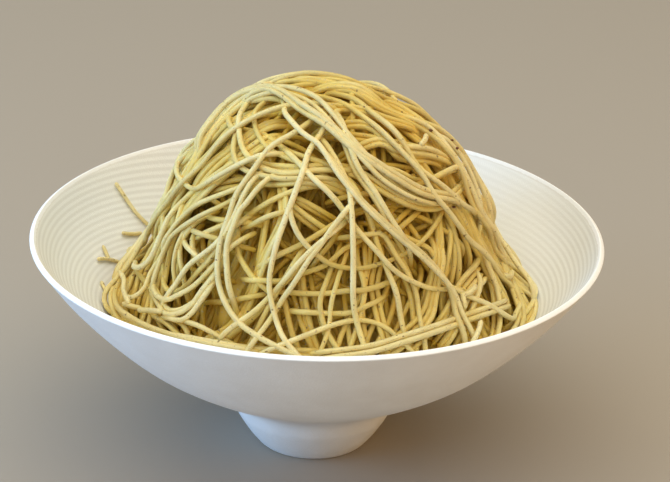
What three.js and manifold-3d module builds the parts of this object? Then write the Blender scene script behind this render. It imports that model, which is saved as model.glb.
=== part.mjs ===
// A dessert of fine chestnut-paste strands, piled as a tall nest in a moulded pulp bowl on a foot.
// Units are millimetres, +Z is up, and the origin is the centre of the foot's underside.
import * as THREE from "three";
import { mergeVertices } from "three/addons/utils/BufferGeometryUtils.js";
import Module from "manifold-3d";

// Driving dimensions of the bowl
const RIM_RADIUS = 80;
const RIM_HEIGHT = 64.5;
const WALL = 1.5;
const LIP = 0.5;
const FOOT_RADIUS = 16.5;
const FOOT_HEIGHT = 15.5;
const BOWL_SIDES = 56;
const WALL_STEPS = 10;

// Driving dimensions of the nest. The fall along its outer line runs from 0 at the crown to 1 at the skirt.
const NEST_TOP = 110;
const SKIRT_RADIUS = 62.5;
const NEST_SHIFT_X = 1.5;
const CLEARANCE = 0.4;
const CAVITY_SIDES = 32;
const CORE_DEPTH = 2.8;
const CORE_RINGS = 14;
const CORE_SIDES = 44;
const LUMP_HEIGHT = 0.85;

// Driving dimensions of the strands. A turn of 100 degrees from the crown reaches the skirt.
const STRAND_DIAMETER = 1.6;
const STRAND_SIDES = 3;
const STRAND_END_DIP = 3;
const STRAND_RIPPLE = 0.25;
const SKIRT_ANGLE = THREE.MathUtils.degToRad(100);
const CROSSINGS = 12;
const CROSSING_STEPS = 20;
const LOOPS = 3;
const HANGINGS = 8;
const SHORT_STEPS = 14;

const wasm = await Module();
wasm.setup();

// Joins and cuts work on closed meshes whose shared corners are merged
function solidFrom(geometry) {
  const bare = geometry.index ? geometry.toNonIndexed() : geometry.clone();
  bare.deleteAttribute("normal");
  bare.deleteAttribute("uv");
  const merged = mergeVertices(bare, 1e-4);
  return new wasm.Manifold(
    new wasm.Mesh({
      numProp: 3,
      vertProperties: merged.attributes.position.array,
      triVerts: new Uint32Array(merged.index.array),
    }),
  );
}

function geometryFrom(solid) {
  const mesh = solid.getMesh();
  const geometry = new THREE.BufferGeometry();
  geometry.setAttribute("position", new THREE.BufferAttribute(mesh.vertProperties, 3));
  geometry.setIndex(new THREE.BufferAttribute(mesh.triVerts, 1));
  geometry.computeVertexNormals();
  return geometry;
}

// A lathe turns its profile about Y, so the result is stood up to turn about Z
function turned(profile, sides) {
  return new THREE.LatheGeometry(profile, sides).rotateX(Math.PI / 2);
}

// A smooth line through pairs of radius and height
function smoothLine(pairs) {
  const points = pairs.map(([radius, height]) => new THREE.Vector3(radius, height, 0));
  return new THREE.CatmullRomCurve3(points, false, "centripetal");
}

// The outside of the bowl: from under the foot, up its flared side, out over the belly and up to the rim
const wallCurve = smoothLine([
  [FOOT_RADIUS - 1.8, 0],
  [FOOT_RADIUS, 0.7],
  [FOOT_RADIUS + 2, 0.28 * FOOT_HEIGHT],
  [FOOT_RADIUS + 5.2, 0.62 * FOOT_HEIGHT],
  [FOOT_RADIUS + 8.5, FOOT_HEIGHT],
  [0.41 * RIM_RADIUS, 0.325 * RIM_HEIGHT],
  [0.55 * RIM_RADIUS, 0.424 * RIM_HEIGHT],
  [0.68 * RIM_RADIUS, 0.537 * RIM_HEIGHT],
  [0.8 * RIM_RADIUS, 0.678 * RIM_HEIGHT],
  [0.91 * RIM_RADIUS, 0.834 * RIM_HEIGHT],
  [RIM_RADIUS - 0.3, RIM_HEIGHT - 2 * LIP],
]);

// The outside line moved inwards by a distance, in even steps from the foot to the rim
function wallLine(inset) {
  return Array.from({ length: WALL_STEPS + 1 }, (_, step) => {
    const place = wallCurve.getPoint(step / WALL_STEPS);
    const along = wallCurve.getTangent(step / WALL_STEPS);
    return new THREE.Vector2(place.x - along.y * inset, place.y + along.x * inset);
  });
}

// One moulded sheet of even thickness: the hollow of the foot is open to the bowl above it
function bowl() {
  const lip = [
    new THREE.Vector2(RIM_RADIUS, RIM_HEIGHT - LIP),
    new THREE.Vector2(RIM_RADIUS - LIP, RIM_HEIGHT),
  ];
  const profile = [
    new THREE.Vector2(0, 0),
    ...wallLine(0),
    ...lip,
    ...wallLine(WALL).reverse(),
    new THREE.Vector2(0, WALL),
  ];
  return turned(profile, BOWL_SIDES);
}

// The room that the nest may fill: the inside of the bowl less a clearance, open upwards
function cavity() {
  const inside = wallLine(WALL + CLEARANCE);
  const roof = NEST_TOP + RIM_HEIGHT;
  const profile = [
    new THREE.Vector2(0, WALL + CLEARANCE),
    ...inside,
    new THREE.Vector2(inside.at(-1).x, roof),
    new THREE.Vector2(0, roof),
  ];
  return solidFrom(turned(profile, CAVITY_SIDES));
}

// The nest's outer line, from its crown down the flank to the skirt that lies on the bowl's wall
const nestCurve = smoothLine([
  [0, NEST_TOP],
  [0.17 * SKIRT_RADIUS, NEST_TOP - 1.4],
  [0.31 * SKIRT_RADIUS, NEST_TOP - 5.5],
  [0.47 * SKIRT_RADIUS, NEST_TOP - 12.5],
  [0.6 * SKIRT_RADIUS, NEST_TOP - 21.5],
  [0.69 * SKIRT_RADIUS, NEST_TOP - 31.5],
  [0.755 * SKIRT_RADIUS, NEST_TOP - 41.5],
  [0.8 * SKIRT_RADIUS, NEST_TOP - 49.5],
  [0.885 * SKIRT_RADIUS, NEST_TOP - 57.5],
  [0.985 * SKIRT_RADIUS, NEST_TOP - 64.5],
  [SKIRT_RADIUS, NEST_TOP - 70],
]);

// A point of the nest, at a depth below its outer line. Past the skirt it goes on straight down.
function nestPoint(azimuth, fall, depth) {
  const place = nestCurve.getPoint(Math.min(fall, 1));
  const along = nestCurve.getTangent(Math.min(fall, 1));
  const radius = place.x + along.y * depth;
  const drop = Math.max(0, fall - 1) * SKIRT_RADIUS;
  return new THREE.Vector3(
    NEST_SHIFT_X + radius * Math.cos(azimuth),
    radius * Math.sin(azimuth),
    place.y - along.x * depth - drop,
  );
}

// Uneven waves that stand for the strands which lie deeper. They fade out at the crown, where all sides meet.
const LUMP_WAVES = [
  { around: 5, down: 9, phase: 0 },
  { around: 9, down: -14, phase: 1.3 },
  { around: 3, down: 21, phase: 4 },
];

function lump(azimuth, fall) {
  const waves = LUMP_WAVES.map(({ around, down, phase }) => Math.sin(around * azimuth + down * fall + phase));
  const fade = Math.min(1, 3 * fall);
  return LUMP_HEIGHT * fade * waves.reduce((sum, wave) => sum + wave);
}

// The core is a closed skin of rings. Below the skirt it runs out past the wall, where the cavity trims it.
function core() {
  const turnOf = (side) => (2 * Math.PI * side) / CORE_SIDES;
  const places = [nestPoint(0, 0, CORE_DEPTH)];
  for (let ring = 1; ring <= CORE_RINGS; ring++) {
    for (let side = 0; side < CORE_SIDES; side++) {
      const fall = ring / CORE_RINGS;
      places.push(nestPoint(turnOf(side), fall, CORE_DEPTH - lump(turnOf(side), fall)));
    }
  }
  for (let side = 0; side < CORE_SIDES; side++) {
    const [x, y] = [Math.cos(turnOf(side)), Math.sin(turnOf(side))];
    places.push(new THREE.Vector3(RIM_RADIUS * x, RIM_RADIUS * y, 0));
  }
  places.push(new THREE.Vector3(0, 0, -WALL));

  const corner = (ring, side) => 1 + (ring - 1) * CORE_SIDES + (side % CORE_SIDES);
  const last = CORE_RINGS + 1;
  const faces = [];
  for (let side = 0; side < CORE_SIDES; side++) {
    faces.push(0, corner(1, side), corner(1, side + 1));
    for (let ring = 1; ring < last; ring++) {
      const [a, b] = [corner(ring, side), corner(ring, side + 1)];
      const [c, d] = [corner(ring + 1, side), corner(ring + 1, side + 1)];
      faces.push(a, c, d, a, d, b);
    }
    faces.push(corner(last, side), places.length - 1, corner(last, side + 1));
  }
  return solidFrom(new THREE.BufferGeometry().setFromPoints(places).setIndex(faces));
}

// Draws the same numbers on every run
function seededRandom(seed) {
  let state = seed;
  return (low, high) => {
    state = (state * 1664525 + 1013904223) % 4294967296;
    return low + ((high - low) * state) / 4294967296;
  };
}

// A direction on a unit dome, and the place on the nest that a direction gives
function domeDirection(azimuth, polar) {
  const flat = Math.sin(polar);
  return new THREE.Vector3(flat * Math.cos(azimuth), flat * Math.sin(azimuth), Math.cos(polar));
}

function domePlace(direction) {
  const polar = Math.acos(THREE.MathUtils.clamp(direction.z / direction.length(), -1, 1));
  return { azimuth: Math.atan2(direction.y, direction.x), fall: polar / SKIRT_ANGLE };
}

// A long strand from skirt to skirt that passes the crown at an angle, with a slight bend each way
function crossingPath(azimuth, passing, bend) {
  const nearest = domeDirection(azimuth, passing);
  const sideways = domeDirection(azimuth + Math.PI / 2, Math.PI / 2);
  return (t) => {
    const turn = (2 * t - 1) * SKIRT_ANGLE;
    const direction = nearest.clone().multiplyScalar(Math.cos(turn) + bend * Math.sin(3 * turn));
    return domePlace(direction.addScaledVector(sideways, Math.sin(turn)));
  };
}

// A strand that hangs down the flank, turns back in the skirt and climbs again
function hangingPath(azimuth, halfWidth, lowest, reach) {
  return (t) => {
    const swing = 2 * t - 1;
    return {
      azimuth: azimuth + halfWidth * Math.tanh(2.4 * swing),
      fall: lowest - reach * Math.abs(swing) ** 1.7,
    };
  };
}

// A round loop, not quite closed, that lies on the upper part of the nest
function loopPath(azimuth, polar, radius, start) {
  const middle = domeDirection(azimuth, polar).multiplyScalar(Math.cos(radius));
  const across = domeDirection(azimuth + Math.PI / 2, Math.PI / 2);
  const upwards = domeDirection(azimuth, polar - Math.PI / 2);
  return (t) => {
    const turn = start + 5 * t;
    const direction = middle.clone().addScaledVector(across, Math.sin(radius) * Math.cos(turn));
    return domePlace(direction.addScaledVector(upwards, Math.sin(radius) * Math.sin(turn)));
  };
}

// A strand's middle line, at a depth that ripples a little. Its ends dip into the core.
class StrandCurve extends THREE.Curve {
  constructor(path, depth, phase) {
    super();
    this.path = path;
    this.depth = depth;
    this.phase = phase;
  }
  getPoint(t, target = new THREE.Vector3()) {
    const { azimuth, fall } = this.path(t);
    const ripple = STRAND_RIPPLE * Math.sin(this.phase + 17 * t);
    const dip = STRAND_END_DIP * Math.exp(-30 * Math.min(t, 1 - t));
    return target.copy(nestPoint(azimuth, fall, this.depth + ripple + dip));
  }
}

const section = new THREE.Shape(
  Array.from({ length: STRAND_SIDES }, (_, side) => {
    const turn = (2 * Math.PI * side) / STRAND_SIDES;
    const corner = new THREE.Vector2(Math.cos(turn), Math.sin(turn));
    return corner.multiplyScalar(STRAND_DIAMETER / 2);
  }),
);

function strand(path, depth, phase, steps) {
  const extrudePath = new StrandCurve(path, depth, phase);
  return solidFrom(new THREE.ExtrudeGeometry(section, { steps, bevelEnabled: false, extrudePath }));
}

// Crossing strands lie on top, each at a depth of its own, with the loops and hanging strands below them
function strands() {
  const random = seededRandom(7);
  const made = [];
  for (let i = 0; i < CROSSINGS; i++) {
    const azimuth = (2 * Math.PI * (5 * i + random(-0.3, 0.3))) / CROSSINGS;
    const path = crossingPath(azimuth, random(0.04, 0.6), random(-0.12, 0.12));
    const layer = ((7 * i) % CROSSINGS) / CROSSINGS;
    made.push(strand(path, STRAND_DIAMETER * (0.25 + layer), i, CROSSING_STEPS));
  }
  for (let i = 0; i < LOOPS; i++) {
    const azimuth = (2 * Math.PI * (i + random(-0.3, 0.3))) / LOOPS;
    const path = loopPath(azimuth, random(0.45, 0.8), random(0.35, 0.5), random(0, 6));
    made.push(strand(path, 1.2 * STRAND_DIAMETER, i, SHORT_STEPS));
  }
  for (let i = 0; i < HANGINGS; i++) {
    const azimuth = (2 * Math.PI * (i + random(-0.3, 0.3))) / HANGINGS;
    const path = hangingPath(azimuth, random(0.12, 0.3), random(0.9, 0.98), random(0.45, 0.75));
    made.push(strand(path, random(1.3, 1.6) * STRAND_DIAMETER, i, SHORT_STEPS));
  }
  return made;
}

// Keeps the largest body, so that no loose scrap is left
function largestBody(solid) {
  return solid.decompose().sort((a, b) => b.volume() - a.volume())[0];
}

function nest() {
  const heap = [core(), ...strands()].reduce((whole, piece) => whole.add(piece));
  return geometryFrom(largestBody(heap.intersect(cavity())));
}

const pulp = new THREE.MeshStandardMaterial({ color: 0xf0efec, roughness: 0.85, metalness: 0 });
const paste = new THREE.MeshStandardMaterial({ color: 0xdcc684, roughness: 0.6, metalness: 0 });

function node(name, geometry, material) {
  const mesh = new THREE.Mesh(geometry, material);
  mesh.name = name;
  return mesh;
}

const dessert = new THREE.Group();
dessert.add(node("pulp_bowl", bowl(), pulp));
dessert.add(node("strand_nest", nest(), paste));

export default dessert;
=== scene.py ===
# %% [markdown]
# This lesson dresses a dessert: a tall nest of fine chestnut-paste strands in a moulded pulp bowl on a
# foot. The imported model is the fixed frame. It gives the bowl's and the nest's real size and place, in
# metres. Everything made here is fitted to it, and its box is kept, so that the finished dessert can be
# held against it.

# %% Load the frame
import math

import bmesh
import bpy
import numpy as np
from mathutils import Matrix, Vector


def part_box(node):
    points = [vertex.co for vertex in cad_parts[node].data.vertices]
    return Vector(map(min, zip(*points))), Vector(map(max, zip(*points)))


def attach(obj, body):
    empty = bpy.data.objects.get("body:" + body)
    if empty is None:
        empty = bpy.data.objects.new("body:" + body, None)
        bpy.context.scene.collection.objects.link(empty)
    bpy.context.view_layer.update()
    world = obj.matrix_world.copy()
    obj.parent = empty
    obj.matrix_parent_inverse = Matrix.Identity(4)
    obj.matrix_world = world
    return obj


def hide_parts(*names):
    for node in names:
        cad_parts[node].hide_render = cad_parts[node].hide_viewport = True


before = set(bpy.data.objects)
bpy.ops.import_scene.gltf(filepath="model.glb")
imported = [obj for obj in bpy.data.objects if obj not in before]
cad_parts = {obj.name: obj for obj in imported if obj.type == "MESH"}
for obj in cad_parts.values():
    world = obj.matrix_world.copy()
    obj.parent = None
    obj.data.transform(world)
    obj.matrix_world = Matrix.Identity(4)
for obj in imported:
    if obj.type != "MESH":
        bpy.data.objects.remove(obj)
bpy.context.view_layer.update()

MM = 0.001
RIM_RADIUS, _, RIM_HEIGHT = np.array(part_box("pulp_bowl")[1]) / MM
print("rim radius and height in mm:", round(RIM_RADIUS, 1), round(RIM_HEIGHT, 1))

# %% [markdown]
# The camera stands where the picture was taken from: 60 cm away, looking down at 24.5 degrees, a little
# rolled. The sizes come from the rim, which is a true circle, and from the bowl's outline below it. The
# camera is aimed a little beside the bowl, as in the photograph, so that the lens needs no shift.

# %% Camera
PICTURE_WIDTH = 670
PICTURE_HEIGHT = 482
FOCAL_PIXELS = 2128
SENSOR_MM = 36
CAMERA_DISTANCE = 600
CAMERA_ELEVATION = math.radians(24.5)
CAMERA_ROLL = math.radians(1.5)
BOWL_CENTRE = Vector((0, 0, 51.5))
BOWL_CENTRE_PIXEL = (316.5, 271.7)

towards_camera = Vector((0, -math.cos(CAMERA_ELEVATION), math.sin(CAMERA_ELEVATION)))
level_right = Vector((1, 0, 0))
level_up = towards_camera.cross(level_right)
picture_right = math.cos(CAMERA_ROLL) * level_right + math.sin(CAMERA_ROLL) * level_up
picture_up = math.cos(CAMERA_ROLL) * level_up - math.sin(CAMERA_ROLL) * level_right
eye = BOWL_CENTRE + CAMERA_DISTANCE * towards_camera


def through_pixel(x, y):
    """The direction from the camera's eye through a pixel of the photograph."""
    right = (x - BOWL_CENTRE_PIXEL[0]) / FOCAL_PIXELS
    up = (BOWL_CENTRE_PIXEL[1] - y) / FOCAL_PIXELS
    return (right * picture_right + up * picture_up - towards_camera).normalized()


def new_object(name, data):
    """An object for a mesh, a lamp or a camera, linked to the scene."""
    made = bpy.data.objects.new(name, data)
    bpy.context.scene.collection.objects.link(made)
    return made


camera = new_object("camera", bpy.data.cameras.new("camera"))
camera.data.lens = FOCAL_PIXELS / PICTURE_WIDTH * SENSOR_MM
camera.data.sensor_width = SENSOR_MM
axis_back = -through_pixel(PICTURE_WIDTH / 2, PICTURE_HEIGHT / 2)
axis_right = (picture_right - picture_right.dot(axis_back) * axis_back).normalized()
axis_up = axis_back.cross(axis_right)
turn = Matrix((axis_right, axis_up, axis_back)).transposed()
camera.matrix_world = Matrix.Translation(eye * MM) @ turn.to_4x4()
bpy.context.scene.camera = camera
print("camera at", [round(v) for v in eye], "mm, lens", round(camera.data.lens, 1), "mm")

# %% [markdown]
# Both the bowl and the nest follow smooth side lines. A few pairs of radius and height give each line, and
# a spline through them gives as many points as a mesh needs. The bowl's line is the frame's own, but for
# its foot, which is a touch fuller here.

# %% Side lines
SPLINE_STEPS = 40


def normalised(vectors):
    """Each vector at length 1."""
    return vectors / np.linalg.norm(vectors, axis=-1, keepdims=True)


def lengths_along(line):
    """How far along a line each of its points is."""
    return np.concatenate([[0], np.cumsum(np.linalg.norm(np.diff(line, axis=0), axis=1))])


def points_at(wanted, lengths, line):
    """The points at the wanted lengths along a line."""
    return np.stack([np.interp(wanted, lengths, column) for column in line.T], axis=-1)


def smooth_line(points, samples):
    """Evenly spaced points along a smooth line through the given ones."""
    points = np.array(points, float)
    before = 2 * points[0] - points[1]
    after = 2 * points[-1] - points[-2]
    knots = np.concatenate([[before], points, [after]])
    share = np.linspace(0, 1, SPLINE_STEPS, endpoint=False)[:, None]
    stretches = []
    for a, b, c, d in zip(knots, knots[1:], knots[2:], knots[3:]):
        bend = (2 * a - 5 * b + 4 * c - d) * share**2 + (3 * b - a - 3 * c + d) * share**3
        stretches.append(b + 0.5 * ((c - a) * share + bend))
    line = np.concatenate(stretches + [points[-1:]])
    lengths = lengths_along(line)
    return points_at(np.linspace(0, lengths[-1], samples), lengths, line)


# %% The bowl's line
WALL = 1.5
LIP = 0.5
FOOT_RADIUS = 16.5
FOOT_HEIGHT = 15.5
FOOT_EDGE = 0.7
WALL_SAMPLES = 120
wall_points = [
    (FOOT_RADIUS, FOOT_EDGE),
    (FOOT_RADIUS + 2.7, 0.28 * FOOT_HEIGHT),
    (FOOT_RADIUS + 5.8, 0.62 * FOOT_HEIGHT),
    (FOOT_RADIUS + 8.3, FOOT_HEIGHT),
    (0.41 * RIM_RADIUS, 0.325 * RIM_HEIGHT),
    (0.55 * RIM_RADIUS, 0.424 * RIM_HEIGHT),
    (0.68 * RIM_RADIUS, 0.537 * RIM_HEIGHT),
    (0.8 * RIM_RADIUS, 0.678 * RIM_HEIGHT),
    (0.91 * RIM_RADIUS, 0.834 * RIM_HEIGHT),
    (RIM_RADIUS - 0.3, RIM_HEIGHT - 2 * LIP),
]
wall_outside = smooth_line(wall_points, WALL_SAMPLES)
wall_along = normalised(np.gradient(wall_outside, axis=0))
wall_inwards = np.stack([-wall_along[:, 1], wall_along[:, 0]], axis=-1)
wall_inside = wall_outside + WALL * wall_inwards
print("wall line from", wall_outside[0].round(1), "to", wall_outside[-1].round(1), "mm")

# %% [markdown]
# The nest's outer line runs from the crown down the flank to the skirt, where the strands lie on the bowl's
# wall. A place on the nest is named by a direction on a dome: straight up is the crown, and 100 degrees
# away from it is the skirt. A height then says how far above or below the outer line the place is.

# %% The nest's line
SKIRT_ANGLE = math.radians(100)
SKIRT_RADIUS = 62.5
NEST_TOP = 110
NEST_MIDDLE_X = 1.5
NEST_SAMPLES = 200
nest_points = [
    (0, NEST_TOP),
    (0.17 * SKIRT_RADIUS, NEST_TOP - 1.4),
    (0.31 * SKIRT_RADIUS, NEST_TOP - 5.5),
    (0.47 * SKIRT_RADIUS, NEST_TOP - 12.5),
    (0.6 * SKIRT_RADIUS, NEST_TOP - 21.5),
    (0.69 * SKIRT_RADIUS, NEST_TOP - 31.5),
    (0.755 * SKIRT_RADIUS, NEST_TOP - 41.5),
    (0.8 * SKIRT_RADIUS, NEST_TOP - 49.5),
    (0.885 * SKIRT_RADIUS, NEST_TOP - 57.5),
    (0.985 * SKIRT_RADIUS, NEST_TOP - 64.5),
    (SKIRT_RADIUS, NEST_TOP - 70),
]


def length_of(line):
    """The whole length of a line."""
    return float(np.linalg.norm(np.diff(line, axis=0), axis=1).sum())


nest_line = smooth_line(nest_points, NEST_SAMPLES)
nest_along = normalised(np.gradient(nest_line, axis=0))
line_falls = np.linspace(0, 1, NEST_SAMPLES)
line_length = length_of(nest_line)
MM_PER_RADIAN = line_length / SKIRT_ANGLE
print("the outer line is", round(line_length), "mm long")

# %% Places on the nest
TINY = 1e-9


def polar_of(directions):
    """The angle of each direction from straight up."""
    return np.arccos(np.clip(directions[:, 2], -1, 1))


def places(directions, heights):
    """Points in mm for directions on the dome and heights above the nest's outer line."""
    fall = polar_of(directions) / SKIRT_ANGLE
    radius = np.interp(fall, line_falls, nest_line[:, 0])
    level = np.interp(fall, line_falls, nest_line[:, 1]) - np.maximum(fall - 1, 0) * line_length
    out = -np.interp(fall, line_falls, nest_along[:, 1])
    up = np.interp(fall, line_falls, nest_along[:, 0])
    flat = np.hypot(directions[:, 0], directions[:, 1]) + TINY
    radius = radius + heights * out
    x = NEST_MIDDLE_X + radius * directions[:, 0] / flat
    y = radius * directions[:, 1] / flat
    return np.stack([x, y, level + heights * up], axis=-1)


crown = places(np.array([[0.0, 0.0, 1.0]]), np.zeros(1))[0]
print("middle of the crown in mm:", crown.round(1))

# %% [markdown]
# A strand that shows in the photograph has to lie on the nest where it shows. So a pixel is turned into a
# place: points are set along the line of sight, and the first one inside the outer line is where the sight
# meets the nest. A pixel just beside the nest gives the place that the sight comes nearest to.

# %% From a pixel to the nest
SIGHT_START = 480
SIGHT_STEP = 0.2
NEST_BEHIND = 640


def along_sight(x, y, end):
    """Points in mm along the line of sight through a pixel, up to a distance from the eye."""
    distances = np.linspace(SIGHT_START, end, round((end - SIGHT_START) / SIGHT_STEP) + 1)
    return np.array(eye) + distances[:, None] * np.array(through_pixel(x, y))


def direction_seen(x, y):
    """The place on the nest that shows at a pixel of the photograph, as a direction on the dome."""
    points = along_sight(x, y, NEST_BEHIND)
    points[:, 0] -= NEST_MIDDLE_X
    level = np.clip(points[:, 2], nest_line[-1, 1], NEST_TOP)
    fall = np.interp(-level, -nest_line[:, 1], line_falls)
    outside = np.hypot(points[:, 0], points[:, 1]) - np.interp(fall, line_falls, nest_line[:, 0])
    outside += np.maximum(points[:, 2] - NEST_TOP, 0)
    hit = int(np.argmax(outside < 0)) if (outside < 0).any() else int(np.argmin(outside))
    azimuth = math.atan2(points[hit, 1], points[hit, 0])
    polar = fall[hit] * SKIRT_ANGLE
    flat = math.sin(polar)
    return np.array([flat * math.cos(azimuth), flat * math.sin(azimuth), math.cos(polar)])


FRONT_MIDDLE = direction_seen(325, 230)
print("middle of the front as a direction:", FRONT_MIDDLE.round(2))

# %% [markdown]
# Paste from a fine nozzle falls in long soft lines that wander, sweep over the top and turn back in the
# skirt. Each strand is a walk over the dome: it starts with a heading, bends a little at random as it goes,
# and steers round before it leaves the skirt. All walks of a family take their steps together.

# %% Random bends
dice = np.random.default_rng(12)


def bell(spread, reach):
    """The heights of a bell curve, as far as the reach to both sides."""
    return np.exp(-0.5 * (np.arange(-reach, reach + 1) / spread) ** 2)


def smooth_noise(count, steps, reach):
    """Rows of random numbers about 0 that change slowly, over about the given number of steps."""
    raw = dice.standard_normal((count, steps + 6 * reach))
    weights = bell(reach, 3 * reach)
    weights /= math.sqrt((weights**2).sum())
    return np.stack([np.convolve(row, weights, mode="valid")[:steps] for row in raw])


# %% Strand walks
STEP = 1.0
STEP_ANGLE = STEP / MM_PER_RADIAN
WANDER_REACH = 14
TURN_BACK_AT = math.radians(96)
TURNING = 0.13
HARDLY = 0.15
DOWN = np.array([0.0, 0.0, -1.0]) + 1e-6


def tangents_to(directions, wanted):
    """The wanted directions, made tangent to the dome."""
    flat = wanted - np.sum(wanted * directions, axis=1, keepdims=True) * directions
    return normalised(flat)


def walks(starts, headings, steps, wander):
    """Walks over the dome, one for each start: directions for each step."""
    count = len(starts)
    here = normalised(starts)
    heading = tangents_to(here, headings)
    bends = wander * smooth_noise(count, steps, WANDER_REACH)
    side = np.sign(dice.uniform(-1, 1, count))
    path = [here]
    for step in range(steps - 1):
        downhill = tangents_to(here, DOWN)
        falling = np.sum(heading * downhill, axis=1)
        sideways = np.sum(heading * np.cross(here, downhill), axis=1)
        low = polar_of(here) > TURN_BACK_AT
        side = np.where(low | (np.abs(sideways) < HARDLY), side, np.sign(sideways))
        steer = np.where(low & (falling > -HARDLY), TURNING * side, 0)
        bend = (bends[:, step] + steer) * STEP
        left = np.cross(here, heading)
        heading = np.cos(bend)[:, None] * heading + np.sin(bend)[:, None] * left
        here = normalised(here + STEP_ANGLE * heading)
        heading = tangents_to(here, heading)
        path.append(here)
    return np.stack(path, axis=1)


def dome_directions(azimuths, polars):
    """Directions from angles round the dome and from straight up."""
    flat = np.sin(polars)
    return np.stack([flat * np.cos(azimuths), flat * np.sin(azimuths), np.cos(polars)], axis=-1)


print("a step on the dome in degrees:", round(math.degrees(STEP_ANGLE), 2))

# %% [markdown]
# The strands are laid one after another, as they were piped. A heap is a map of the dome, which remembers
# how high the middle of the next strand has to be at each place. A new strand has to lie on what is there,
# but paste has some stiffness: between two supports it spans the gap in a gentle curve. So what it needs at
# each step is spread along it as a falling parabola, whose fall is the strand's sag, and the highest need
# wins. Then the strand itself is added to the map.

# %% A map of the heap
STRAND_WIDTH = 1.5
CONTACT = 1.35
CELL = 0.5
MAP_REACH = math.radians(112) * MM_PER_RADIAN
MAP_MARGIN = 4 * CONTACT
MAP_SIDE = 2 * int(MAP_REACH / CELL) + 1
MAP_MIDDLE = (MAP_SIDE - 1) / 2
UNSQUEEZED_WITHIN = 4
LEAST_SQUEEZE = 0.55


def map_cells(directions):
    """Places on the map, in cells, and how much the map is stretched across the slope."""
    polar = polar_of(directions)
    flat = np.hypot(directions[:, 0], directions[:, 1]) + TINY
    reach = np.minimum(polar * MM_PER_RADIAN, MAP_REACH - MAP_MARGIN)
    column = MAP_MIDDLE + reach * directions[:, 0] / flat / CELL
    row = MAP_MIDDLE + reach * directions[:, 1] / flat / CELL
    true_radius = np.interp(polar / SKIRT_ANGLE, line_falls, nest_line[:, 0])
    squeeze = np.where(reach > UNSQUEEZED_WITHIN, true_radius / np.maximum(reach, UNSQUEEZED_WITHIN), 1)
    return column, row, squeeze


def looked_up(field, directions):
    """The values of a map at the given directions."""
    column, row, _ = map_cells(directions)
    return field[np.rint(row).astype(int), np.rint(column).astype(int)]


def add_strand(heap, directions, heights):
    """Raises the heap's map round a strand, so that the next one lies on it."""
    column, row, squeeze = map_cells(directions)
    half = math.ceil(CONTACT / CELL / max(LEAST_SQUEEZE, squeeze.min())) + 1
    offsets = np.arange(-half, half + 1)
    shift_row, shift_column = np.meshgrid(offsets, offsets, indexing="ij")
    rows = np.rint(row).astype(int)[:, None] + shift_row.ravel()
    columns = np.rint(column).astype(int)[:, None] + shift_column.ravel()
    across = (columns - column[:, None]) * CELL
    along = (rows - row[:, None]) * CELL
    flat = np.hypot(directions[:, 0], directions[:, 1]) + TINY
    out_x = (directions[:, 0] / flat)[:, None]
    out_y = (directions[:, 1] / flat)[:, None]
    outwards = across * out_x + along * out_y
    round_it = (along * out_x - across * out_y) * squeeze[:, None]
    room = CONTACT**2 - outwards**2 - round_it**2
    touched = room > 0
    values = heights[:, None] + np.sqrt(np.where(touched, room, 0))
    np.maximum.at(heap, (rows[touched], columns[touched]), values[touched])


print("cells along a side of the map:", MAP_SIDE)

# %% Laying a strand
LAID_SMOOTHING = 1.6
LAID_REACH = int(4 * LAID_SMOOTHING)


def smoothed(values, spread, reach):
    """Values along a strand, smoothed as stiff paste does by itself."""
    weights = bell(spread, reach)
    return np.convolve(np.pad(values, reach, mode="edge"), weights / weights.sum(), mode="valid")


def lay(heap, path, sag):
    """Lays one strand on the heap, and gives it as its path and its heights."""
    needed = looked_up(heap, path)
    steps = np.arange(len(needed)) * STEP
    spread = needed[None, :] - sag * (steps[:, None] - steps[None, :]) ** 2
    heights = smoothed(spread.max(axis=1), LAID_SMOOTHING, LAID_REACH)
    add_strand(heap, path, heights)
    return path, heights


# %% [markdown]
# The heap starts with a tangle: strands in every direction that fill the nest out to a few millimetres
# below its outer line. Nobody sees where one of these strands begins or ends, so all of it is drawn at
# random, from a fixed seed, so that it comes out the same each time.

# %% Inner tangle
TANGLE_COUNT = 200
TANGLE_STEPS = 150
TANGLE_WANDER = 0.035
TANGLE_EDGE = math.radians(95)
TANGLE_SAG = 0.05

inner_heap = np.full((MAP_SIDE, MAP_SIDE), STRAND_WIDTH / 2)
tangle_azimuths = dice.uniform(0, 2 * math.pi, TANGLE_COUNT)
tangle_polars = np.arccos(dice.uniform(math.cos(TANGLE_EDGE), 1, TANGLE_COUNT))
tangle_starts = dome_directions(tangle_azimuths, tangle_polars)
tangle_headings = dice.standard_normal((TANGLE_COUNT, 3))
tangle_paths = walks(tangle_starts, tangle_headings, TANGLE_STEPS, TANGLE_WANDER)
tangle = [lay(inner_heap, path, TANGLE_SAG) for path in tangle_paths]
print("strands of the tangle:", len(tangle))

# %% [markdown]
# Bundles of strands side by side follow, piped mostly from left to right over the top, so that they hang as
# curtains at both sides. One walk guides each bundle, and its strands sway beside it.

# %% Bundles over the top
BUNDLE_COUNT = 42
BUNDLE_STEPS = 235
BUNDLE_WANDER = 0.008
BUNDLE_START = math.radians(94)
BUNDLE_SAG = 0.03
BUNDLE_SPACING = 1.2
BUNDLE_SWAY = 1.3
BUNDLE_MOST = 5
BUNDLE_CUT = 25
SWAY_REACH = 30
SIDEWAYS_SHARE = 0.6
SIDE_SPREAD = 0.5
HEADING_SPREAD = 0.55


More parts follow.
